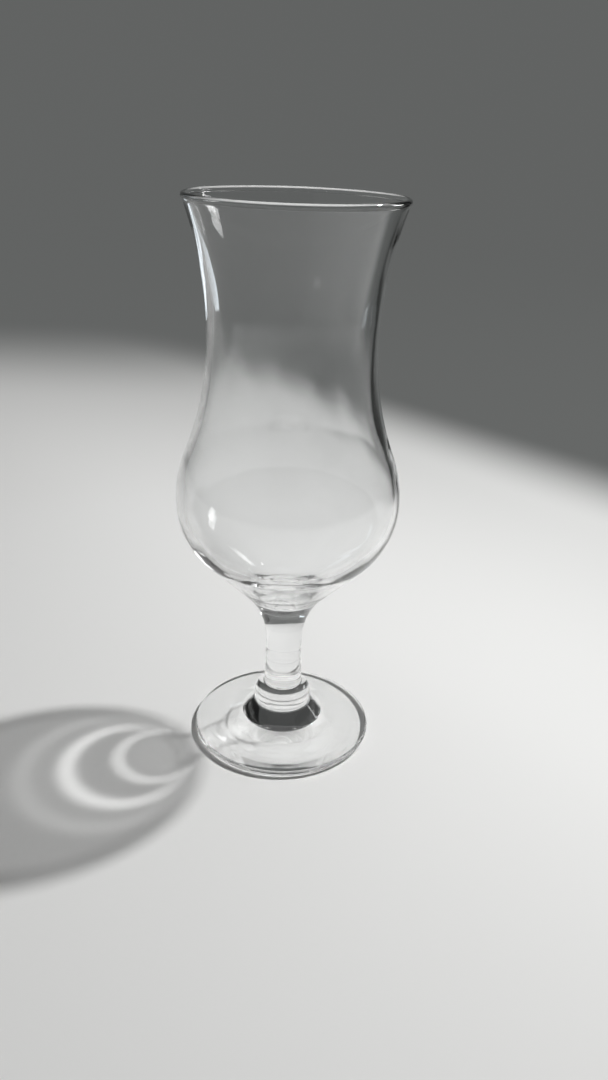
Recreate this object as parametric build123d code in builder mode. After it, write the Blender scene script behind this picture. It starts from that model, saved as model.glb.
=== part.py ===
"""Hurricane glass: a blown bowl, a drawn stem and a pressed foot, fused end to end on one axis.

Millimetres, +Z up. The origin is the middle of the ring that the foot rests on.
Each piece is one outline, radius along X and height along Z, turned about the axis.
"""
from build123d import *
import math
import os

# Whole glass
glass_height = 206.0

# Foot, measured up from the table
foot_radius = 35.4
foot_edge_radius = 1.25
foot_edge_lift = 0.55
foot_rest_radius = 28.2
foot_rest_width = 4.2
foot_hollow_depth = 0.4
foot_plate_slope = 11.3
foot_skirt_slope = 22.0
foot_skirt_width = 5.6
foot_cone_slope = 47.8
foot_cone_fillet = 1.5
foot_height = 33.2

# Collar and stub at the top of the foot
collar_radius = 11.15
collar_bottom = 13.4
collar_side_height = 3.0
collar_shoulder_height = 5.7
collar_neck_arc = 0.9
collar_fillet = 2.4
stub_radius = 7.4
stub_taper_height = 4.6

# Stem
stem_radius = 7.1
stem_straight_length = 7.8
stem_flare_arc = 31.3
stem_flare_length = 16.1

# Bowl outside
bowl_cone_slope = 45.8
bulb_radius = 41.0
bulb_lower_arc = 31.6
bulb_upper_arc = 46.5
bulb_to_waist = 59.4
waist_radius = 29.4

# Rim
rim_radius = 36.0
rim_wall = 1.8
rim_bead_proud = 0.2
rim_bead_fillet = 0.8

# Bowl walls
waist_wall = 2.3
bulb_wall = 2.6
bottom_thickness = 6.5


def s_bend(start, end, start_arc):
    """Point where two arcs meet that both leave their ends upright, given the first arc's radius."""
    across = end[0] - start[0]
    down = end[1] - start[1]
    both_arcs = (across**2 + down**2) / (2 * abs(across))
    share = start_arc / both_arcs
    return (start[0] + share * across, start[1] + share * down)


# Heights of the fuse lines
stem_bottom = foot_height
flare_start = stem_bottom + stem_straight_length
bowl_bottom = flare_start + stem_flare_length

# Where the stem's flare is cut by the upper fuse line
flare_centre = (stem_radius + stem_flare_arc, flare_start)
fuse_turn = math.asin(stem_flare_length / stem_flare_arc)
fuse_radius = flare_centre[0] - stem_flare_arc * math.cos(fuse_turn)

# The bowl's cone touches the flare below and the bulb above
cone_sine = math.sin(math.radians(bowl_cone_slope))
cone_cosine = math.cos(math.radians(bowl_cone_slope))
cone_foot = (flare_centre[0] - stem_flare_arc * cone_sine, flare_centre[1] + stem_flare_arc * cone_cosine)
cone_top_radius = bulb_radius - bulb_lower_arc * (1 - cone_sine)
cone_top = (cone_top_radius, cone_foot[1] + (cone_top_radius - cone_foot[0]) * cone_sine / cone_cosine)

# Levels of the bowl
bulb_level = cone_top[1] + bulb_lower_arc * cone_cosine
waist_level = bulb_level + bulb_to_waist
rim_bead_radius = rim_wall / 2 + rim_bead_proud
rim_level = glass_height - rim_bead_radius

# Outside of the bowl, from the rim down
rim_outside = (rim_radius + rim_wall / 2, rim_level)
waist_outside = (waist_radius, waist_level)
bulb_outside = (bulb_radius, bulb_level)
bend_outside = s_bend(bulb_outside, waist_outside, bulb_upper_arc)

# Inside of the bowl, from the rim down to a bottom arc that is centred on the axis
rim_inside = (rim_radius - rim_wall / 2, rim_level)
waist_inside = (waist_radius - waist_wall, waist_level)
bulb_inside = (bulb_radius - bulb_wall, bulb_level)
bend_inside = s_bend(bulb_inside, waist_inside, bulb_upper_arc - bulb_wall)
bottom_inside = (0, bowl_bottom + bottom_thickness)
inner_arc = bulb_lower_arc - bulb_wall
inner_arc_offset = bulb_radius - bulb_lower_arc
bottom_drop = bulb_level - bottom_inside[1]
bottom_arc = (inner_arc_offset**2 + bottom_drop**2 - inner_arc**2) / (2 * (bottom_drop - inner_arc))
bottom_centre = bottom_inside[1] + bottom_arc
meet_share = bottom_arc / (bottom_arc - inner_arc)
bottom_meet = (inner_arc_offset * meet_share, bottom_centre + (bulb_level - bottom_centre) * meet_share)

with BuildPart() as bowl:
    with BuildSketch(Plane.XZ) as bowl_outline:
        with BuildLine():
            Line(bottom_inside, (0, bowl_bottom))
            Line((0, bowl_bottom), (fuse_radius, bowl_bottom))
            TangentArc(
                (fuse_radius, bowl_bottom), cone_foot, tangent=(math.sin(fuse_turn), math.cos(fuse_turn))
            )
            Line(cone_foot, cone_top)
            TangentArc(cone_top, bulb_outside, tangent=(cone_cosine, cone_sine))
            upper_bulb = TangentArc(bulb_outside, bend_outside, tangent=(0, 1))
            TangentArc(bend_outside, waist_outside, tangent=upper_bulb % 1)
            TangentArc(waist_outside, rim_outside, tangent=(0, 1))
            Line(rim_outside, rim_inside)
            TangentArc(waist_inside, rim_inside, tangent=(0, 1))
            upper_inside = TangentArc(bulb_inside, bend_inside, tangent=(0, 1))
            TangentArc(bend_inside, waist_inside, tangent=upper_inside % 1)
            TangentArc(bulb_inside, bottom_meet, tangent=(0, -1))
            TangentArc(bottom_inside, bottom_meet, tangent=(1, 0))
        make_face()
        with Locations((rim_radius, rim_level)):
            Circle(rim_bead_radius)
        bead_roots = bowl_outline.vertices().filter_by(
            lambda corner: math.isclose(
                math.hypot(corner.X - rim_radius, corner.Y - rim_level), rim_bead_radius, rel_tol=0.001
            )
        )
        fillet(bead_roots, radius=rim_bead_fillet)
    revolve(axis=Axis.Z)

with BuildPart() as stem:
    with BuildSketch(Plane.XZ):
        with BuildLine():
            Polyline((fuse_radius, bowl_bottom), (0, bowl_bottom), (0, stem_bottom))
            Polyline((0, stem_bottom), (stem_radius, stem_bottom), (stem_radius, flare_start))
            TangentArc((stem_radius, flare_start), (fuse_radius, bowl_bottom), tangent=(0, 1))
        make_face()
    revolve(axis=Axis.Z)

# Underside of the foot: the lift outside the resting ring touches the rounded edge
edge_centre = (foot_radius - foot_edge_radius, foot_edge_lift + foot_edge_radius)
rest_outer = (foot_rest_radius, 0)
rest_inner = (foot_rest_radius - foot_rest_width, 0)
edge_elevation = math.atan2(edge_centre[1], edge_centre[0] - foot_rest_radius)
lift_angle = edge_elevation - math.asin(foot_edge_radius / math.dist(edge_centre, rest_outer))
edge_under = (
    edge_centre[0] + foot_edge_radius * math.sin(lift_angle),
    edge_centre[1] - foot_edge_radius * math.cos(lift_angle),
)

# Top of the foot: the plate touches the rounded edge, and the skirt joins the plate to the cone
plate_slope = math.tan(math.radians(foot_plate_slope))
skirt_slope = math.tan(math.radians(foot_skirt_slope))
cone_slope = math.tan(math.radians(foot_cone_slope))
plate_outer = (
    edge_centre[0] + foot_edge_radius * math.sin(math.radians(foot_plate_slope)),
    edge_centre[1] + foot_edge_radius * math.cos(math.radians(foot_plate_slope)),
)
plate_apex = plate_outer[1] + plate_outer[0] * plate_slope
cone_apex = collar_bottom + collar_radius * cone_slope
skirt_room = foot_skirt_width * (cone_slope - skirt_slope)
crease_radius = (cone_apex - plate_apex + skirt_room) / (cone_slope - plate_slope)
crease = (crease_radius, plate_apex - crease_radius * plate_slope)
skirt_top = (crease_radius - foot_skirt_width, crease[1] + foot_skirt_width * skirt_slope)

# Collar and stub
collar_foot = (collar_radius, collar_bottom)
collar_side = (collar_radius, collar_bottom + collar_side_height)
neck = (stub_radius, collar_side[1] + collar_shoulder_height)
neck_bend = s_bend(neck, collar_side, collar_neck_arc)
stub_top = (stub_radius, foot_height - stub_taper_height)

with BuildPart() as foot:
    with BuildSketch(Plane.XZ) as foot_outline:
        with BuildLine():
            Polyline((0, foot_hollow_depth), (0, foot_height), (stem_radius, foot_height), stub_top, neck)
            neck_arc = TangentArc(neck, neck_bend, tangent=(0, -1))
            TangentArc(neck_bend, collar_side, tangent=neck_arc % 1)
            Polyline(collar_side, collar_foot, skirt_top, crease, plate_outer)
            ThreePointArc(plate_outer, (foot_radius, edge_centre[1]), edge_under)
            Polyline(edge_under, rest_outer, rest_inner)
            TangentArc((0, foot_hollow_depth), rest_inner, tangent=(1, 0))
        make_face()
        for corner, radius in (
            (stub_top, collar_fillet),
            (collar_foot, collar_fillet),
            (skirt_top, foot_cone_fillet),
        ):
            fillet(foot_outline.vertices().sort_by_distance(corner)[0], radius=radius)
    revolve(axis=Axis.Z)

os.makedirs("parts", exist_ok=True)
for piece, name in ((bowl, "bowl"), (stem, "stem"), (foot, "foot")):
    piece.part.label = name
    export_step(piece.part, f"parts/{name}.step")
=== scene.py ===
"""Looks of a clear hurricane glass: a blown bowl, a solid stem and a pressed foot, fused end to end.

Every piece is an outline of radius and height, worked out from named sizes in millimetres and turned about
the glass's upright axis. Meshes are in metres, in the frame's own coordinates.
"""
import logging
import math
from dataclasses import dataclass, field
from enum import Enum
from typing import Any

import bpy
import numpy as np
from mathutils import Matrix, Vector


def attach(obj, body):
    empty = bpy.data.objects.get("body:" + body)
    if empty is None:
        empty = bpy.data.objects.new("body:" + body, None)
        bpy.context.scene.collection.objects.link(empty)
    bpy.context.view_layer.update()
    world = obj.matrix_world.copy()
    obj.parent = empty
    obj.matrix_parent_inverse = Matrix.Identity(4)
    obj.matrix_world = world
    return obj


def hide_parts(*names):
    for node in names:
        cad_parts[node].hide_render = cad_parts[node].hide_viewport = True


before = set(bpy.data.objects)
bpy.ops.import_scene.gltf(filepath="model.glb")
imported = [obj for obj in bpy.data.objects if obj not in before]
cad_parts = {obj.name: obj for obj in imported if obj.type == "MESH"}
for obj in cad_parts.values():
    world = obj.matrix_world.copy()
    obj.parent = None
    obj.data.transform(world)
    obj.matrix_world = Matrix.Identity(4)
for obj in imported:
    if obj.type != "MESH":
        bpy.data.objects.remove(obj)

logging.basicConfig(level=logging.INFO, format="%(message)s")
log = logging.getLogger("hurricane_glass")

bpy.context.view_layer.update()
MILLIMETRE = 0.001
BODY = "root"

Point = tuple[float, float]
Span = tuple[float, float]
Place = tuple[float, float, float]
Colour = tuple[float, float, float, float]


class Surface(Enum):
    """What a run of an outline is dressed with: glass, a fused face, an edge that stops lamps, or a lens."""

    GLASS = "glass"
    FUSED = "fused"
    EDGE = "edge"
    LENS = "lens"


class LightShape(Enum):
    """Outline of a soft light."""

    RECTANGLE = "RECTANGLE"
    ELLIPSE = "ELLIPSE"


class Value:
    """A number socket of a shader; arithmetic on it adds Math nodes."""

    def __init__(self, shader: "Shader", socket: bpy.types.NodeSocket) -> None:
        """Wraps a socket of a shader."""
        self.shader = shader
        self.socket = socket

    def _math(self, operation: str, first: Any, second: Any) -> "Value":
        """Adds one Math node.

        Args:
            operation: Blender's name of the operation.
            first: a Value or a number.
            second: a Value or a number.

        Returns:
            The node's result.
        """
        node = self.shader.node("ShaderNodeMath", {"operation": operation}, {0: first, 1: second})
        return Value(self.shader, node.outputs[0])

    def __add__(self, other: Any) -> "Value":
        """This value plus another."""
        return self._math("ADD", self, other)

    __radd__ = __add__

    def __sub__(self, other: Any) -> "Value":
        """This value less another."""
        return self._math("SUBTRACT", self, other)

    def __rsub__(self, other: Any) -> "Value":
        """A number less this value."""
        return self._math("SUBTRACT", other, self)

    def __mul__(self, other: Any) -> "Value":
        """This value times another."""
        return self._math("MULTIPLY", self, other)

    __rmul__ = __mul__

    def step(self, low: float, high: float) -> "Value":
        """A smooth step.

        Args:
            low: the value that gives 0.
            high: the value that gives 1.

        Returns:
            0 below low, 1 above high, and a smooth rise between.
        """
        settings = {"interpolation_type": "SMOOTHSTEP"}
        node = self.shader.node("ShaderNodeMapRange", settings, {0: self, 1: low, 2: high})
        return Value(self.shader, node.outputs[0])


class Shader:
    """One material and the nodes in it."""

    def __init__(self, name: str) -> None:
        """Starts an empty material that has an output and a Principled shader.

        Args:
            name: the material's name.
        """
        self.material = bpy.data.materials.new(name)
        self.material.use_nodes = True
        self.tree = self.material.node_tree
        self.tree.nodes.clear()
        self.surface = self.node("ShaderNodeBsdfPrincipled")
        self.output = self.node("ShaderNodeOutputMaterial", inputs={"Surface": self.surface.outputs[0]})

    def node(
        self, kind: str, settings: dict[str, Any] | None = None, inputs: dict[Any, Any] | None = None
    ) -> Any:
        """Adds one node.

        Args:
            kind: the node's type.
            settings: the node's own properties, set first.
            inputs: numbers, colours, sockets or Values for its sockets, by name or place.

        Returns:
            The new node.
        """
        node = self.tree.nodes.new(kind)
        for key, value in (settings or {}).items():
            setattr(node, key, value)
        for key, value in (inputs or {}).items():
            self.feed(node, key, value)
        return node

    def feed(self, node: bpy.types.Node, key: Any, value: Any) -> None:
        """Sets or links one socket of a node.

        Args:
            node: the node.
            key: the socket's name or place.
            value: a number, a colour, a socket or a Value.
        """
        if isinstance(value, Value):
            value = value.socket
        if isinstance(value, bpy.types.NodeSocket):
            self.tree.links.new(value, node.inputs[key])
        else:
            node.inputs[key].default_value = value

    def dress(self, **inputs: Any) -> None:
        """Sets or links sockets of the Principled shader, with _ for the spaces in their names."""
        for key, value in inputs.items():
            self.feed(self.surface, key.replace("_", " "), value)

    def let_through(self, share: Value, gain: float) -> None:
        """Lets a share of the rays go straight through the surface.

        Args:
            share: 0 for the Principled shader alone and 1 for a surface that isn't there.
            gain: how much brighter the rays are that go through.
        """
        clear = self.node("ShaderNodeBsdfTransparent", inputs={"Color": (gain, gain, gain, 1.0)}).outputs[0]
        mixed = self.node("ShaderNodeMixShader", inputs={0: share, 1: self.surface.outputs[0], 2: clear})
        self.feed(self.output, "Surface", mixed.outputs[0])

    def place(self) -> bpy.types.NodeSocket:
        """The point being shaded, in the object's own coordinates."""
        return self.node("ShaderNodeTexCoord").outputs["Object"]

    def noise(self, place: bpy.types.NodeSocket, scale: float, detail: float) -> Value:
        """Smooth noise.

        Args:
            place: the coordinates to read.
            scale: waves per metre.
            detail: octaves of finer noise.

        Returns:
            A value round 0.5.
        """
        node = self.node("ShaderNodeTexNoise", inputs={"Vector": place, "Scale": scale, "Detail": detail})
        return Value(self, node.outputs[0])

    def mix(self, factor: Value, first: Colour, second: Colour) -> bpy.types.NodeSocket:
        """Mixes two colours.

        Args:
            factor: 0 for the first colour and 1 for the second.
            first: a colour.
            second: a colour.

        Returns:
            The mixed colour.
        """
        node = self.node("ShaderNodeMix", {"data_type": "RGBA"}, {0: factor, 6: first, 7: second})
        return node.outputs[2]


@dataclass(frozen=True)
class LightRing:
    """A ring of the glass that gathers lamp light, so that its shadow shows a bright loop.

    Its radius, its height and its reach up and down are in metres. The reach across the wall keeps it to one
    side of the wall.
    """

    radius: float
    height: float
    reach: float
    share: float
    wall_reach: float = 0.004

    def at(self, shader: Shader, place: bpy.types.NodeSocket) -> Value:
        """How much a place belongs to the ring: 1 on it, falling to 0 at its reach in height and in radius.

        Args:
            shader: the shader to add nodes to.
            place: the point being shaded.

        Returns:
            The ring's strength.
        """
        height = Value(shader, shader.node("ShaderNodeSeparateXYZ", inputs={0: place}).outputs[2])
        flat = shader.node("ShaderNodeVectorMath", {"operation": "MULTIPLY"}, {0: place, 1: (1.0, 1.0, 0.0)})
        length = shader.node("ShaderNodeVectorMath", {"operation": "LENGTH"}, {0: flat.outputs[0]})
        radius = Value(shader, length.outputs["Value"])
        low = height.step(self.height - self.reach, self.height)
        high = 1.0 - height.step(self.height, self.height + self.reach)
        inner = radius.step(self.radius - self.wall_reach, self.radius)
        outer = 1.0 - radius.step(self.radius, self.radius + self.wall_reach)
        return low * high * inner * outer


@dataclass(frozen=True)
class ClearGlass:
    """Fire-polished soda-lime glass, almost colourless, with the slight waviness of hot-formed glass.

    Lamp light goes straight through a wall that faces it, by the lamp share, and less and less through one
    that it meets edge-on, over the shade span. Rings of the glass let their own share of the gain through.
    """

    name: str
    lamp_share: float
    tint: Colour = (0.988, 0.992, 0.993, 1.0)
    refraction: float = 1.52
    smear_roughness: float = 0.035
    smears_per_metre: float = 55.0
    smear_octaves: float = 3.0
    smear_span: Span = (0.56, 0.74)
    waves_per_metre: float = 70.0
    wave_octaves: float = 1.0
    wave_height: float = 0.00006
    shade_span: Span = (0.6, 1.0)
    gain: float = 1.0
    rings: tuple[LightRing, ...] = ()

    def material(self) -> bpy.types.Material:
        """The finish as a material."""
        shader = Shader(self.name)
        place = shader.place()
        smears = shader.noise(place, self.smears_per_metre, self.smear_octaves).step(*self.smear_span)
        waves = shader.noise(place, self.waves_per_metre, self.wave_octaves)
        bump = shader.node("ShaderNodeBump", inputs={"Height": waves, "Distance": self.wave_height})
        shader.dress(
            Base_Color=self.tint,
            Roughness=smears * self.smear_roughness,
            Normal=bump.outputs[0],
            IOR=self.refraction,
            Transmission_Weight=1.0,
        )
        shader.let_through(self.passing(shader, place), self.gain)
        return shader.material

    def passing(self, shader: Shader, place: bpy.types.NodeSocket) -> Value:
        """Share of the lamp rays that goes straight through, before the gain. All other rays see plain glass.

        Args:
            shader: the shader to add nodes to.
            place: the point being shaded.

        Returns:
            The share.
        """
        lamp_rays = Value(shader, shader.node("ShaderNodeLightPath").outputs["Is Shadow Ray"])
        weight = shader.node("ShaderNodeLayerWeight", inputs={"Blend": 0.5})
        edge_on = Value(shader, weight.outputs["Facing"]).step(*self.shade_span)
        facing_rays = lamp_rays * (1.0 - edge_on)
        plain = self.lamp_share / self.gain
        share = facing_rays * plain
        for ring in self.rings:
            share = share + facing_rays * ring.at(shader, place) * (ring.share - plain)
        return share


@dataclass(frozen=True)
class FusedFace:
    """The face where two pieces were joined hot: the glass runs on, so nothing of it shows."""

    def material(self) -> bpy.types.Material:
        """The finish as a material."""
        shader = Shader("fused_face")
        shader.dress(Base_Color=(1.0, 1.0, 1.0, 1.0), Alpha=0.0)
        return shader.material


@dataclass(frozen=True)
class StudioGround:
    """Pale table in a painted pool of light. Past a painted shadow edge it fades to a grey surround, which
    glows with painted light, dimmer to the right and higher up.

    Each fade runs between two distances in metres. Slant is towards the right and back, and starts some way
    behind the glass; the painted shadow edge lies along it, and painted shade follows it inside the pale
    part, darkening the table towards that edge. Along is straight back, pool is from the pool's centre, dim
    is towards the right and front, and high is straight up.
    """

    pale: Colour = (0.80, 0.80, 0.79, 1.0)
    # Painted shade: the near-black colour of the table and backdrop past the painted shadow edge and the
    # pool.
    grey: Colour = (0.01, 0.0105, 0.01, 1.0)
    # Painted light: the surround's emission stands in for the dim light on the shaded table and backdrop.
    painted_glow: Colour = (0.120, 0.124, 0.122, 1.0)
    no_painted_glow: Colour = (0.0, 0.0, 0.0, 1.0)
    roughness: float = 0.75
    slant_facing: tuple[float, float] = (0.74, 0.67)
    # Painted shadow edge across the table, with its soft width.
    slant_fade: Span = (0.29, 0.405)
    slant_from: Span = (0.08, 0.24)
    # Painted shade: the table darkens gradually towards the painted shadow edge, by this share.
    painted_shade_fade: Span = (0.06, 0.33)
    painted_shade_share: float = 0.33
    along_fade: Span = (0.45, 0.78)
    pool_centre: Place = (0.0, 0.2, 0.0)
    pool_fade: Span = (0.55, 0.90)
    dim_slant: float = 0.45
    dim_fade: Span = (0.08, 0.2)
    dim_share: float = 0.9
    high_fade: Span = (0.6, 1.8)
    high_share: float = 0.5

    def material(self) -> bpy.types.Material:
        """The finish as a material."""
        shader = Shader("studio_ground")
        place = shader.place()
        parts = shader.node("ShaderNodeSeparateXYZ", inputs={0: place}).outputs
        across, along, up = (Value(shader, part) for part in parts)
        slant = across * self.slant_facing[0] + along * self.slant_facing[1]
        away = shader.node("ShaderNodeVectorMath", {"operation": "DISTANCE"}, {0: place, 1: self.pool_centre})
        inside = 1.0 - Value(shader, away.outputs["Value"]).step(*self.pool_fade)
        # Painted shadow edge: past it the table takes the painted shade colour.
        beyond = slant.step(*self.slant_fade) * along.step(*self.slant_from)
        # Painted pool of light: the pale colour fades out with distance from the glass.
        near = (1.0 - beyond) * (1.0 - along.step(*self.along_fade)) * inside
        # Painted pool of light, darkened by painted shade towards the shadow edge.
        lit = near * (1.0 - slant.step(*self.painted_shade_fade) * self.painted_shade_share)
        dim = (across - along * self.dim_slant).step(*self.dim_fade) * self.dim_share
        # Painted light: the surround glows, less to the right and front and higher up.
        painted_glow_mask = (1.0 - lit) * (1.0 - dim) * (1.0 - up.step(*self.high_fade) * self.high_share)
        shader.dress(
            Base_Color=shader.mix(lit, self.grey, self.pale),
            Roughness=self.roughness,
            Specular_IOR_Level=0.0,
            Emission_Color=shader.mix(painted_glow_mask, self.no_painted_glow, self.painted_glow),
            Emission_Strength=1.0,
        )
        return shader.material


def straight(start: Point, end: Point, spacing: float = 1.2) -> np.ndarray:
    """Points along the straight line from start to end, evenly spaced.

    Args:
        start: radius and height of the first point.
        end: radius and height of the last point.
        spacing: longest distance between points.

    Returns:
        An array of points, ends included.
    """
    count = max(2, math.ceil(math.dist(start, end) / spacing) + 1)
    share = np.linspace(0.0, 1.0, count)[:, None]
    return np.asarray(start) + share * (np.asarray(end) - np.asarray(start))


def bend(start: Point, end: Point, heading: Point, spacing: float = 1.2, turn: float = 0.12) -> np.ndarray:
    """Points along the arc that leaves start along heading and ends at end.

    Its radius is the chord squared over twice the chord's part across the heading, and its centre lies that
    far to the side of start.

    Args:
        start: radius and height of the first point.
        end: radius and height of the last point.
        heading: direction of the arc at start.
        spacing: longest distance between points.
        turn: largest angle between points, in radians.

    Returns:
        An array of points, ends included.
    """
    first, last = np.asarray(start, float), np.asarray(end, float)
    ahead = np.asarray(heading, float) / math.hypot(*heading)
    side = np.array([-ahead[1], ahead[0]])
    chord = last - first
    across = float(chord @ side)
    radius = float(chord @ chord) / (2.0 * across)
    centre = first + radius * side
    angle = 2.0 * math.atan2(across, float(chord @ ahead))
    count = max(3, math.ceil(max(abs(angle) / turn, abs(angle * radius) / spacing)) + 1)
    turned = np.linspace(0.0, angle, count)[:, None]
    spoke = first - centre
    points = centre + np.cos(turned) * spoke + np.sin(turned) * np.array([-spoke[1], spoke[0]])
    points[-1] = last
    return points


def corner(before: Point, tip: Point, after: Point, radius: float) -> np.ndarray:
    """Points along the arc of a given radius that rounds the corner at tip.

    It touches both sides at the radius times the tangent of half the turn from the tip.

    Args:
        before: a point on the side that leads to the corner.
        tip: the corner.
        after: a point on the side that leaves the corner.
        radius: the arc's radius.

    Returns:
        An array of points, ends included.
    """
    inward = np.subtract(tip, before) / math.dist(tip, before)
    outward = np.subtract(after, tip) / math.dist(after, tip)
    reach = radius * math.tan(0.5 * math.acos(float(np.clip(inward @ outward, -1.0, 1.0))))
    return bend(tuple(tip - reach * inward), tuple(tip + reach * outward), tuple(inward))


def s_bend(start: Point, end: Point, start_radius: float) -> Point:
    """Point where two arcs meet that leave start and end upright.

    The radii of such a pair add up to the chord squared over twice its width, and the point divides the chord
    as the radii divide their sum.

    Args:
        start: upright end of the first arc.
        end: upright end of the second arc.
        start_radius: radius of the first arc.

    Returns:
        The meeting point.
    """
    across, along = end[0] - start[0], end[1] - start[1]
    share = start_radius * 2.0 * abs(across) / (across**2 + along**2)
    return (start[0] + share * across, start[1] + share * along)


def crossing(first: Point, first_radius: float, second: Point, second_radius: float, side: float) -> Point:
    """Point that lies at given distances from two centres.

    Args:
        first: the first centre.
        first_radius: distance from it.
        second: the second centre.
        second_radius: distance from it.
        side: 1 for the point to the left of the way from first to second, -1 for the one to the right.

    Returns:
        The point.
    """
    gap = math.dist(first, second)
    ahead = np.subtract(second, first) / gap
    along = (gap**2 + first_radius**2 - second_radius**2) / (2.0 * gap)
    across = side * math.sqrt(first_radius**2 - along**2)
    point = np.asarray(first) + along * ahead + across * np.array([-ahead[1], ahead[0]])
    return (float(point[0]), float(point[1]))


def between(centre: Point, radius: float, towards: Point) -> Point:
    """Point on a circle in the direction of another point.

    Args:
        centre: the circle's centre.
        radius: the circle's radius.
        towards: the point that gives the direction.

    Returns:
        The point on the circle.
    """
    away = np.subtract(towards, centre)
    point = np.asarray(centre) + radius * away / np.hypot(*away)
    return (float(point[0]), float(point[1]))


@dataclass
class Outline:
    """A closed turned shape's outline, from the axis below, round the outside, back to the axis above."""

    runs: list[np.ndarray] = field(default_factory=list)
    surfaces: list[Surface] = field(default_factory=list)

    def add(self, run: np.ndarray, surface: Surface = Surface.GLASS) -> None:
        """Adds a run of points that starts where the last one ended.

        Args:
            run: the points, the shared first one included.
            surface: what the run is dressed with.
        """
        kept = run if not self.runs else run[1:]
        self.runs.append(kept)
        self.surfaces.extend([surface] * (len(run) - 1))

    def points(self) -> np.ndarray:
        """All points, in millimetres, as rows of radius and height."""
        return np.concatenate(self.runs)


@dataclass
class TurnedPiece:
    """A piece of glass made by turning an outline about the upright axis."""

    name: str
    node: str
    segments: int

    def outline(self) -> Outline:
        """The piece's outline, drawn by each kind of piece."""
        raise NotImplementedError

    def ripple(self, points: np.ndarray, angles: np.ndarray) -> np.ndarray:
        """Offset of each point from the true radius, in millimetres.

        Args:
            points: outline points.
            angles: angles round the axis.

        Returns:
            One row for each outline point and one column for each angle; none by default.
        """
        return np.zeros((len(points), len(angles)))

    def build(self, materials: dict[Surface, bpy.types.Material]) -> bpy.types.Object:
        """Turns the outline into a closed mesh and puts it in the CAD node's place.

        A point of the outline at radius r and height z goes round as (r cos a, r sin a, z) for evenly spaced
        angles a. The two ends on the axis are single points, joined to their rings by triangles.

        Args:
            materials: one material for each kind of surface.

        Returns:
            The finished piece.
        """
        outline = self.outline()
        points = outline.points()
        angles = np.linspace(0.0, 2.0 * math.pi, self.segments, endpoint=False)
        radius = (points[:, :1] + self.ripple(points, angles))[1:-1]
        height = np.broadcast_to(points[1:-1, 1:], radius.shape)
        rings = np.stack([radius * np.cos(angles), radius * np.sin(angles), height], axis=-1).reshape(-1, 3)
        ends = np.array([[0.0, 0.0, points[0, 1]], [0.0, 0.0, points[-1, 1]]])
        vertices = np.concatenate([rings, ends]) * MILLIMETRE

        count = len(points) - 2
        here = np.arange(self.segments)
        after = np.roll(here, -1)
        base = (np.arange(count - 1) * self.segments)[:, None]
        quads = np.stack(
            [base + here, base + after, base + after + self.segments, base + here + self.segments], axis=-1
        ).reshape(-1, 4)
        top = (count - 1) * self.segments
        low_end = np.stack([np.full_like(here, len(rings)), after, here], axis=-1)
        high_end = np.stack([np.full_like(here, len(rings) + 1), top + here, top + after], axis=-1)
        mesh = bpy.data.meshes.new(self.name)
        mesh.from_pydata(vertices.tolist(), [], low_end.tolist() + quads.tolist() + high_end.tolist())
        used = [surface for surface in Surface if surface in outline.surfaces]
        slots = np.repeat([used.index(surface) for surface in outline.surfaces], self.segments)
        mesh.polygons.foreach_set("material_index", slots.astype(np.int32))
        mesh.polygons.foreach_set("use_smooth", np.ones(len(slots), dtype=bool))
        for surface in used:
            mesh.materials.append(materials[surface])
        mesh.update()

        piece = bpy.data.objects.new(self.name, mesh)
        bpy.context.scene.collection.objects.link(piece)
        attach(piece, BODY)
        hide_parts(self.node)
        log.info("%s: %d faces", self.name, len(slots))
        return piece


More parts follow.
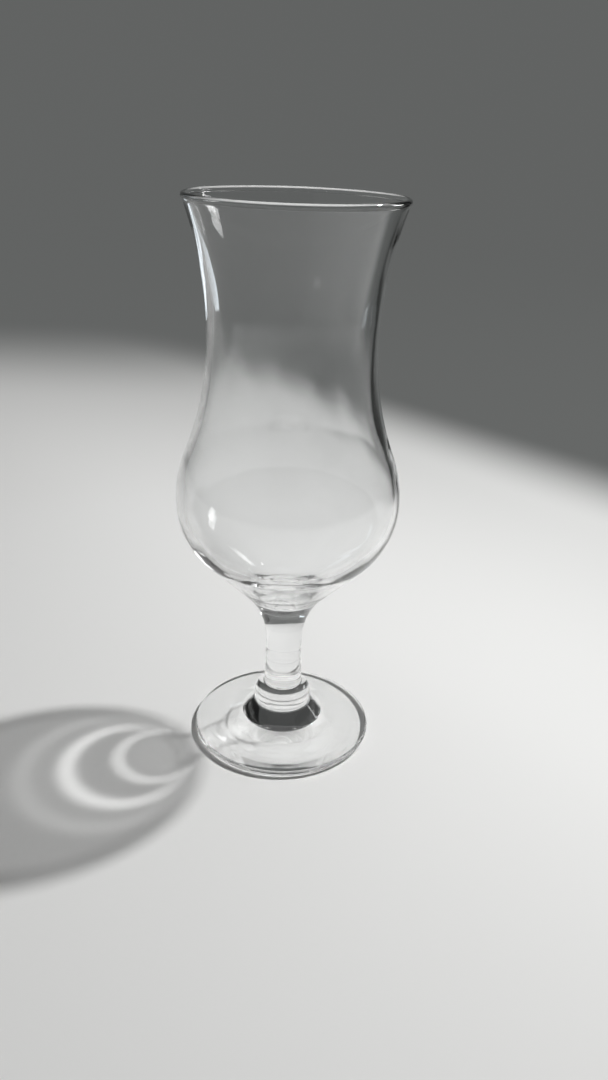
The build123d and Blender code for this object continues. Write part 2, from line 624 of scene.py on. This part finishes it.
@dataclass
class Foot(TurnedPiece):
    """The pressed foot: a rounded edge, a sloping plate, a skirt, a cone, a collar and a stub."""

    name: str = "pressed_foot"
    node: str = "foot"
    segments: int = 320
    radius: float = 35.4
    edge_radius: float = 1.25
    edge_lift: float = 0.55
    plate_slope: float = math.radians(11.3)
    rest_radius: float = 28.2
    rest_width: float = 4.2
    hollow_depth: float = 0.4
    skirt_width: float = 5.6
    skirt_slope: float = math.radians(22.0)
    cone_slope: float = math.radians(47.8)
    cone_fillet: float = 1.5
    height: float = 33.2
    collar_radius: float = 11.15
    collar_bottom: float = 13.4
    collar_side: float = 3.0
    collar_shoulder: float = 5.7
    collar_neck_arc: float = 0.9
    collar_fillet: float = 2.4
    stub_radius: float = 7.4
    stub_shoulder: float = 4.6
    stem_radius: float = 7.1
    fuse_round: float = 0.06

    def outline(self) -> Outline:
        """The foot's outline, from the middle of its hollow underside to the middle of its stub."""
        outline = Outline()
        plate_outer = self.draw_underside(outline)
        collar_foot = (self.collar_radius, self.collar_bottom)
        collar_side = (self.collar_radius, self.collar_bottom + self.collar_side)
        self.draw_plate(outline, plate_outer, collar_foot, collar_side)

        neck = (self.stub_radius, collar_side[1] + self.collar_shoulder)
        neck_bend = s_bend(neck, collar_side, self.collar_neck_arc)
        stub_top = (self.stub_radius, self.height - self.stub_shoulder)
        fuse_edge = (self.stem_radius, self.height)
        outline.add(bend(neck_bend, collar_side, self.leave(neck, neck_bend), spacing=0.4)[::-1])
        outline.add(bend(neck, neck_bend, (0.0, -1.0), spacing=0.4)[::-1])
        shoulder = corner(neck, stub_top, fuse_edge, self.collar_fillet)
        rounding = corner(stub_top, fuse_edge, (0.0, self.height), self.fuse_round)
        outline.add(straight(neck, tuple(shoulder[0])))
        outline.add(shoulder)
        outline.add(straight(tuple(shoulder[-1]), tuple(rounding[0])))
        outline.add(rounding)
        outline.add(straight(tuple(rounding[-1]), (0.0, self.height)), Surface.FUSED)
        return outline

    def draw_underside(self, outline: Outline) -> Point:
        """Draws the hollow, the resting ring, the lifted edge and its rounding.

        Args:
            outline: the outline to add to.

        Returns:
            The point where the plate's top leaves the rounded edge.
        """
        rest_inner = self.rest_radius - self.rest_width
        edge = (self.radius - self.edge_radius, self.edge_lift + self.edge_radius)
        away = math.dist(edge, (self.rest_radius, 0.0))
        lift = math.atan2(edge[1], edge[0] - self.rest_radius) - math.asin(self.edge_radius / away)
        reach = math.sqrt(away**2 - self.edge_radius**2)
        touch = (self.rest_radius + reach * math.cos(lift), reach * math.sin(lift))
        plate_outer = (
            edge[0] + self.edge_radius * math.sin(self.plate_slope),
            edge[1] + self.edge_radius * math.cos(self.plate_slope),
        )
        outline.add(bend((0.0, self.hollow_depth), (rest_inner, 0.0), (1.0, 0.0)))
        outline.add(straight((rest_inner, 0.0), (self.rest_radius, 0.0)))
        outline.add(straight((self.rest_radius, 0.0), touch))
        outline.add(bend(touch, plate_outer, (math.cos(lift), math.sin(lift))), Surface.EDGE)
        return plate_outer

    def draw_plate(
        self, outline: Outline, plate_outer: Point, collar_foot: Point, collar_side: Point
    ) -> None:
        """Draws the plate's top, the skirt, the cone and the collar's side.

        The skirt is a short slope between the plate and the cone: its inner end lies on the cone, and its
        outer end, where a fine crease shows, lies on the plate.

        Args:
            outline: the outline to add to.
            plate_outer: where the plate leaves the rounded edge.
            collar_foot: lower end of the collar's side.
            collar_side: upper end of the collar's side.
        """
        slopes = (self.plate_slope, self.skirt_slope, self.cone_slope)
        plate, skirt, cone = (math.tan(slope) for slope in slopes)
        rise = collar_foot[1] - plate_outer[1] + collar_foot[0] * cone - plate_outer[0] * plate
        crease_radius = (rise + self.skirt_width * (cone - skirt)) / (cone - plate)
        crease = (crease_radius, plate_outer[1] + (plate_outer[0] - crease_radius) * plate)
        skirt_top = (crease[0] - self.skirt_width, crease[1] + self.skirt_width * skirt)
        cone_arc = corner(crease, skirt_top, collar_foot, self.cone_fillet)
        collar_arc = corner(skirt_top, collar_foot, collar_side, self.collar_fillet)
        outline.add(straight(plate_outer, crease))
        outline.add(straight(crease, tuple(cone_arc[0]), spacing=0.3))
        outline.add(cone_arc)
        outline.add(straight(tuple(cone_arc[-1]), tuple(collar_arc[0])))
        outline.add(collar_arc)
        outline.add(straight(tuple(collar_arc[-1]), collar_side))

    @staticmethod
    def leave(start: Point, end: Point) -> Point:
        """Heading at the end of an arc that leaves start straight down: the downward heading turned twice the
        chord's angle.

        Args:
            start: upright start of the arc.
            end: end of the arc.

        Returns:
            The heading.
        """
        turn = 2.0 * math.atan2(end[0] - start[0], start[1] - end[1])
        return (math.sin(turn), -math.cos(turn))


@dataclass
class Stem(TurnedPiece):
    """The solid stem: straight below, then flared to the bowl."""

    name: str = "solid_stem"
    node: str = "stem"
    segments: int = 256
    bottom: float = 33.2
    radius: float = 7.1
    straight_length: float = 7.8
    flare_arc: float = 31.3
    flare_length: float = 16.1
    fuse_round: float = 0.06

    def fuse_point(self) -> tuple[Point, float]:
        """Edge of the upper fused face and the flare's lean there, in radians from upright."""
        lean = math.asin(self.flare_length / self.flare_arc)
        edge = self.radius + self.flare_arc * (1.0 - math.cos(lean))
        return (edge, self.bottom + self.straight_length + self.flare_length), lean

    def outline(self) -> Outline:
        """The stem's outline, from the middle of its lower fused face to the middle of its upper one."""
        edge, lean = self.fuse_point()
        flare_start = (self.radius, self.bottom + self.straight_length)
        low_round = corner((0.0, self.bottom), (self.radius, self.bottom), flare_start, self.fuse_round)
        below_edge = (edge[0] - math.sin(lean), edge[1] - math.cos(lean))
        high_round = corner(below_edge, edge, (0.0, edge[1]), self.fuse_round)
        outline = Outline()
        outline.add(straight((0.0, self.bottom), tuple(low_round[0])), Surface.FUSED)
        outline.add(low_round)
        outline.add(straight(tuple(low_round[-1]), flare_start))
        outline.add(bend(flare_start, tuple(high_round[0]), (0.0, 1.0), spacing=0.6))
        outline.add(high_round)
        outline.add(straight(tuple(high_round[-1]), (0.0, edge[1])), Surface.FUSED)
        return outline


@dataclass
class Bowl(TurnedPiece):
    """The blown bowl: a beaded rim, a waist, a bulb, a cone into the stem's flare and a round bottom."""

    name: str = "blown_bowl"
    node: str = "bowl"
    segments: int = 256
    stem: Stem = field(default_factory=Stem)
    height: float = 206.0
    cone_slope: float = math.radians(45.8)
    bulb_radius: float = 41.0
    bulb_lower_arc: float = 31.6
    bulb_upper_arc: float = 46.5
    bulb_to_waist: float = 59.4
    waist_radius: float = 29.4
    rim_radius: float = 36.0
    rim_wall: float = 1.8
    bead_proud: float = 0.2
    bead_fillet: float = 0.8
    waist_wall: float = 2.3
    bulb_wall: float = 2.6
    cone_wall: float = 3.15
    bottom_thickness: float = 4.3
    ripple_height: float = 0.07
    ripple_waves: tuple[tuple[float, float, float, float], ...] = (
        (0.3, 2.0, 0.031, 0.0),
        (0.3, 5.0, -0.047, 1.3),
        (0.5, 9.0, 0.083, 2.1),
        (0.3, 14.0, -0.12, 0.4),
    )
    ripple_rim_fade: float = 25.0
    ripple_bottom_fade: float = 20.0

    def outline(self) -> Outline:
        """The bowl's outline, from the middle of its fused face, over the rim, to its inside bottom."""
        outline = Outline()
        self.draw_lower_outside(outline)
        self.draw_walls(outline)
        self.draw_lower_inside(outline)
        return outline

    def levels(self) -> tuple[Point, Point, float, float]:
        """Ends of the cone, and the heights of the bulb and the waist."""
        sine, cosine = math.sin(self.cone_slope), math.cos(self.cone_slope)
        flare_start = self.stem.bottom + self.stem.straight_length
        flare_centre = self.stem.radius + self.stem.flare_arc
        cone_foot = (flare_centre - self.stem.flare_arc * sine, flare_start + self.stem.flare_arc * cosine)
        top_radius = self.bulb_radius - self.bulb_lower_arc * (1.0 - sine)
        cone_top = (top_radius, cone_foot[1] + (top_radius - cone_foot[0]) * sine / cosine)
        bulb_level = cone_top[1] + self.bulb_lower_arc * cosine
        return cone_foot, cone_top, bulb_level, bulb_level + self.bulb_to_waist

    def draw_lower_outside(self, outline: Outline) -> None:
        """Draws the fused face, the end of the flare, the cone and the lower half of the bulb.

        Args:
            outline: the outline to add to.
        """
        edge, lean = self.stem.fuse_point()
        cone_foot, cone_top, bulb_level, _ = self.levels()
        heading = (math.sin(lean), math.cos(lean))
        above_edge = (edge[0] + heading[0], edge[1] + heading[1])
        rounding = corner((0.0, edge[1]), edge, above_edge, self.stem.fuse_round)
        cone_heading = (math.cos(self.cone_slope), math.sin(self.cone_slope))
        outline.add(straight((0.0, edge[1]), tuple(rounding[0])), Surface.FUSED)
        outline.add(rounding)
        flare = bend(cone_foot, tuple(rounding[-1]), (-cone_heading[0], -cone_heading[1]))[::-1]
        outline.add(flare, Surface.LENS)
        outline.add(straight(cone_foot, cone_top), Surface.LENS)
        outline.add(bend(cone_top, (self.bulb_radius, bulb_level), cone_heading))

    def draw_walls(self, outline: Outline) -> None:
        """Draws the outside from the bulb up, the bead, and the inside down to the bulb.

        Args:
            outline: the outline to add to.
        """
        _, _, bulb_level, waist_level = self.levels()
        bead_radius = self.rim_wall / 2.0 + self.bead_proud
        bead = (self.rim_radius, self.height - bead_radius)
        bulb, waist = (self.bulb_radius, bulb_level), (self.waist_radius, waist_level)
        turn_out = s_bend(bulb, waist, self.bulb_upper_arc)
        rim_out = (self.rim_radius + self.rim_wall / 2.0, bead[1])
        wall_out = self.upright_arc_radius(waist, rim_out)
        centre_out = (waist[0] + wall_out, waist[1])
        fillet_out = crossing(
            bead, bead_radius + self.bead_fillet, centre_out, wall_out - self.bead_fillet, -1.0
        )
        outline.add(bend(bulb, turn_out, (0.0, 1.0)))
        outline.add(bend(waist, turn_out, (0.0, -1.0))[::-1])
        leave_wall = between(centre_out, wall_out, fillet_out)
        outline.add(bend(waist, leave_wall, (0.0, 1.0)))
        meet_out = between(bead, bead_radius, fillet_out)

        bulb_in = (self.bulb_radius - self.bulb_wall, bulb_level)
        waist_in = (self.waist_radius - self.waist_wall, waist_level)
        turn_in = s_bend(bulb_in, waist_in, self.bulb_upper_arc - self.bulb_wall)
        rim_in = (self.rim_radius - self.rim_wall / 2.0, bead[1])
        wall_in = self.upright_arc_radius(waist_in, rim_in)
        centre_in = (waist_in[0] + wall_in, waist_in[1])
        fillet_in = crossing(
            bead, bead_radius + self.bead_fillet, centre_in, wall_in + self.bead_fillet, -1.0
        )
        reach_wall = between(centre_in, wall_in, fillet_in)
        meet_in = between(bead, bead_radius, fillet_in)
        outline.add(self.around(fillet_out, leave_wall, meet_out, -1.0))
        outline.add(self.around(bead, meet_out, meet_in, 1.0))
        outline.add(self.around(fillet_in, meet_in, reach_wall, -1.0))
        outline.add(bend(waist_in, reach_wall, (0.0, 1.0))[::-1])
        outline.add(bend(waist_in, turn_in, (0.0, -1.0)))
        outline.add(bend(bulb_in, turn_in, (0.0, 1.0))[::-1])

    def draw_lower_inside(self, outline: Outline) -> None:
        """Draws the inside from the bulb down: an arc, a cone and the bottom arc.

        The inside cone is parallel to the outside one, at the cone's wall from it. The bottom arc is centred
        on the axis and touches the inside cone.

        Args:
            outline: the outline to add to.
        """
        cone_foot, _, bulb_level, _ = self.levels()
        bulb_in = (self.bulb_radius - self.bulb_wall, bulb_level)
        bottom = (0.0, self.stem.fuse_point()[0][1] + self.bottom_thickness)
        sine, cosine = math.sin(self.cone_slope), math.cos(self.cone_slope)
        inner_arc = self.bulb_lower_arc - self.bulb_wall + (self.bulb_wall - self.cone_wall) / (1.0 - sine)
        inner_top = (bulb_in[0] - inner_arc * (1.0 - sine), bulb_level - inner_arc * cosine)
        reach = cone_foot[0] * sine + (bottom[1] - cone_foot[1]) * cosine - self.cone_wall
        bottom_arc = reach / (1.0 - cosine)
        touch = (bottom_arc * sine, bottom[1] + bottom_arc * (1.0 - cosine))
        outline.add(bend(bulb_in, inner_top, (0.0, -1.0)))
        outline.add(straight(inner_top, touch), Surface.LENS)
        outline.add(bend(bottom, touch, (1.0, 0.0))[::-1])

    @staticmethod
    def upright_arc_radius(start: Point, end: Point) -> float:
        """Radius of the arc that leaves start upright and ends at end: chord squared over twice its width."""
        return math.dist(start, end) ** 2 / (2.0 * (end[0] - start[0]))

    @staticmethod
    def around(centre: Point, start: Point, end: Point, way: float) -> np.ndarray:
        """Points round a circle from start to end.

        Args:
            centre: the circle's centre.
            start: the first point.
            end: the last point.
            way: 1 to go anticlockwise, -1 to go clockwise.

        Returns:
            An array of points, ends included.
        """
        step = 0.09
        first = math.atan2(start[1] - centre[1], start[0] - centre[0])
        last = math.atan2(end[1] - centre[1], end[0] - centre[0])
        turn = way * ((way * (last - first)) % (2.0 * math.pi))
        angles = first + np.linspace(0.0, turn, max(3, math.ceil(abs(turn) / step) + 1))
        radius = math.dist(centre, start)
        points = np.stack([centre[0] + radius * np.cos(angles), centre[1] + radius * np.sin(angles)], axis=-1)
        points[0], points[-1] = start, end
        return points

    def ripple(self, points: np.ndarray, angles: np.ndarray) -> np.ndarray:
        """Uneven inside wall, as blown glass has it: waves round the axis that drift with height.

        Each wave is a strength times the sine of a multiple of the angle, plus a drift in step with the
        height, plus a shift. Their sum fades out at the rim and at the bottom, and the outside stays true.

        Args:
            points: outline points.
            angles: angles round the axis.

        Returns:
            Offsets in millimetres, a row for each point.
        """
        highest = int(np.argmax(points[:, 1]))
        height = points[:, 1:]
        waves = sum(
            strength * np.sin(multiple * angles + drift * height + shift)
            for strength, multiple, drift, shift in self.ripple_waves
        )
        below_rim = np.clip((self.height - height) / self.ripple_rim_fade, 0.0, 1.0)
        off_bottom = np.clip(points[:, :1] / self.ripple_bottom_fade, 0.0, 1.0) ** 2
        inside = (np.arange(len(points)) > highest)[:, None]
        return np.where(inside, self.ripple_height * (below_rim * off_bottom) * waves, 0.0)


@dataclass
class Stage:
    """Pale floor that sweeps up into a round grey backdrop, all round the glass."""

    radius: float = 2.4
    cove_radius: float = 0.8
    height: float = 2.2
    gap: float = 0.00005
    cove_steps: int = 24
    middle_radius: float = 0.8
    segments: int = 96

    def build(self, material: bpy.types.Material) -> bpy.types.Object:
        """Turns the floor, cove and wall about the axis as one sheet.

        Args:
            material: the ground's material.

        Returns:
            The backdrop.
        """
        inner = self.radius - self.cove_radius
        cove = np.linspace(0.0, math.pi / 2.0, self.cove_steps)
        curve = np.stack(
            [inner + self.cove_radius * np.sin(cove), self.cove_radius * (1.0 - np.cos(cove))], axis=-1
        )
        points = np.concatenate([[[self.middle_radius, 0.0]], curve, [[self.radius, self.height]]])
        angles = np.linspace(0.0, 2.0 * math.pi, self.segments, endpoint=False)
        radius = points[:, :1]
        height = np.broadcast_to(points[:, 1:] - self.gap, (len(points), self.segments))
        rings = np.stack([radius * np.cos(angles), radius * np.sin(angles), height], axis=-1).reshape(-1, 3)
        here = np.arange(self.segments)
        after = np.roll(here, -1)
        base = (np.arange(len(points) - 1) * self.segments)[:, None]
        quads = np.stack(
            [base + here, base + here + self.segments, base + after + self.segments, base + after], axis=-1
        ).reshape(-1, 4)
        mesh = bpy.data.meshes.new("studio_ground")
        mesh.from_pydata(rings.tolist(), [], [here.tolist()] + quads.tolist())
        mesh.polygons.foreach_set("use_smooth", np.ones(len(quads) + 1, dtype=bool))
        mesh.materials.append(material)
        ground = bpy.data.objects.new("studio_ground", mesh)
        bpy.context.scene.collection.objects.link(ground)
        return ground


@dataclass(frozen=True)
class SoftBox:
    """A soft light that faces the glass."""

    name: str
    place: Place
    target: Place
    size: tuple[float, float]
    radiance: float
    colour: tuple[float, float, float] = (1.0, 1.0, 1.0)
    shape: LightShape = LightShape.RECTANGLE
    shown: bool = True

    def build(self) -> bpy.types.Object:
        """Makes the light. Its power is its radiance times its area times pi."""
        light = bpy.data.lights.new(self.name, "AREA")
        light.shape = self.shape.value
        light.size, light.size_y = self.size
        fill = math.pi / 4.0 if self.shape is LightShape.ELLIPSE else 1.0
        light.energy = self.radiance * self.size[0] * self.size[1] * fill * math.pi
        light.color = self.colour
        lamp = bpy.data.objects.new(self.name, light)
        lamp.location = self.place
        facing = Vector(self.target) - Vector(self.place)
        lamp.rotation_euler = facing.to_track_quat("-Z", "Y").to_euler()
        lamp.visible_camera = False
        lamp.visible_glossy = self.shown
        lamp.visible_transmission = self.shown
        bpy.context.scene.collection.objects.link(lamp)
        return lamp


@dataclass(frozen=True)
class Studio:
    """The room's dim grey light and the soft lights."""

    ambient: float = 0.10

    def build(self) -> None:
        """Makes the world's background and the lights."""
        world = bpy.data.worlds.new("studio")
        world.use_nodes = True
        background = world.node_tree.nodes["Background"]
        background.inputs["Color"].default_value = (1.0, 1.0, 1.0, 1.0)
        background.inputs["Strength"].default_value = self.ambient
        bpy.context.scene.world = world
        middle = (0.0, 0.0, 0.1)
        lights = (
            SoftBox("key_light", (0.60, 0.29, 0.80), middle, (0.06, 0.06), 1173.0, shape=LightShape.ELLIPSE),
            SoftBox("side_light", (1.10, 0.60, 0.47), (0.0, 0.0, 0.2), (0.40, 0.20), 6.0),
            SoftBox(
                "back_light", (-0.162, 0.269, 0.112), (0.0, 0.0, 0.18), (0.08, 0.024), 1.1, (0.86, 0.94, 1.0)
            ),
            SoftBox("top_light", (0.1, 0.1, 1.9), middle, (0.9, 0.9), 0.9, shown=False),
        )
        for light in lights:
            light.build()


@dataclass(frozen=True)
class PhotoCamera:
    """The camera at the photograph's own place, found from the rim, the foot and the outline."""

    distance: float = 0.3039
    height: float = 0.2270
    pitch: float = math.radians(25.179)
    roll: float = math.radians(-2.192)
    yaw: float = math.radians(1.231)
    focal_pixels: float = 890.2
    picture_height: float = 1080.0
    sensor_height: float = 36.0

    def build(self) -> bpy.types.Object:
        """Makes the camera: it looks forward and down by the pitch, to the right by the yaw, and rolls."""
        data = bpy.data.cameras.new("photo_camera")
        data.sensor_fit = "VERTICAL"
        data.sensor_height = self.sensor_height
        data.lens = self.focal_pixels / self.picture_height * self.sensor_height
        data.clip_start = 0.01
        ahead = math.cos(self.pitch)
        forward = Vector((math.sin(self.yaw) * ahead, math.cos(self.yaw) * ahead, -math.sin(self.pitch)))
        level = Vector((math.cos(self.yaw), -math.sin(self.yaw), 0.0))
        down = forward.cross(level)
        right = math.cos(self.roll) * level + math.sin(self.roll) * down
        up = math.sin(self.roll) * level - math.cos(self.roll) * down
        turned = Matrix((right, up, -forward)).transposed().to_4x4()
        camera = bpy.data.objects.new("photo_camera", data)
        camera.matrix_world = Matrix.Translation((0.0, -self.distance, self.height)) @ turned
        bpy.context.scene.collection.objects.link(camera)
        bpy.context.scene.camera = camera
        return camera


def set_light_paths(scene: bpy.types.Scene) -> None:
    """Lets light pass all the walls of the glass, and shows plain colours.

    Args:
        scene: the scene to set.
    """
    bounces = 32
    scene.cycles.max_bounces = bounces
    scene.cycles.glossy_bounces = bounces
    scene.cycles.transmission_bounces = bounces
    scene.cycles.transparent_max_bounces = bounces
    scene.cycles.blur_glossy = 0.0
    scene.cycles.sample_clamp_indirect = 12.0
    scene.view_settings.view_transform = "Standard"


def main() -> None:
    """Builds the glass, its stage, its lights and its camera."""
    fused = FusedFace().material()
    rings = (
        LightRing(radius=0.0205, height=0.0721, reach=0.0022, share=0.82),
        LightRing(radius=0.0135, height=0.0600, reach=0.0016, share=0.8),
        LightRing(radius=0.0282, height=0.0800, reach=0.0025, share=0.35),
    )
    lens = ClearGlass("blown_lens", lamp_share=0.85, shade_span=(0.85, 1.0), gain=3.6, rings=rings)
    blown = {
        Surface.GLASS: ClearGlass("blown_glass", lamp_share=0.79).material(),
        Surface.LENS: lens.material(),
        Surface.FUSED: fused,
    }
    pressed = {
        Surface.GLASS: ClearGlass("pressed_glass", lamp_share=0.97).material(),
        Surface.EDGE: ClearGlass("pressed_edge", lamp_share=0.0).material(),
        Surface.FUSED: fused,
    }
    stem = Stem()
    for piece, finish in ((Bowl(stem=stem), blown), (stem, pressed), (Foot(), pressed)):
        piece.build(finish)
    Stage().build(StudioGround().material())
    Studio().build()
    PhotoCamera().build()
    set_light_paths(bpy.context.scene)


if __name__ == "__main__":
    main()
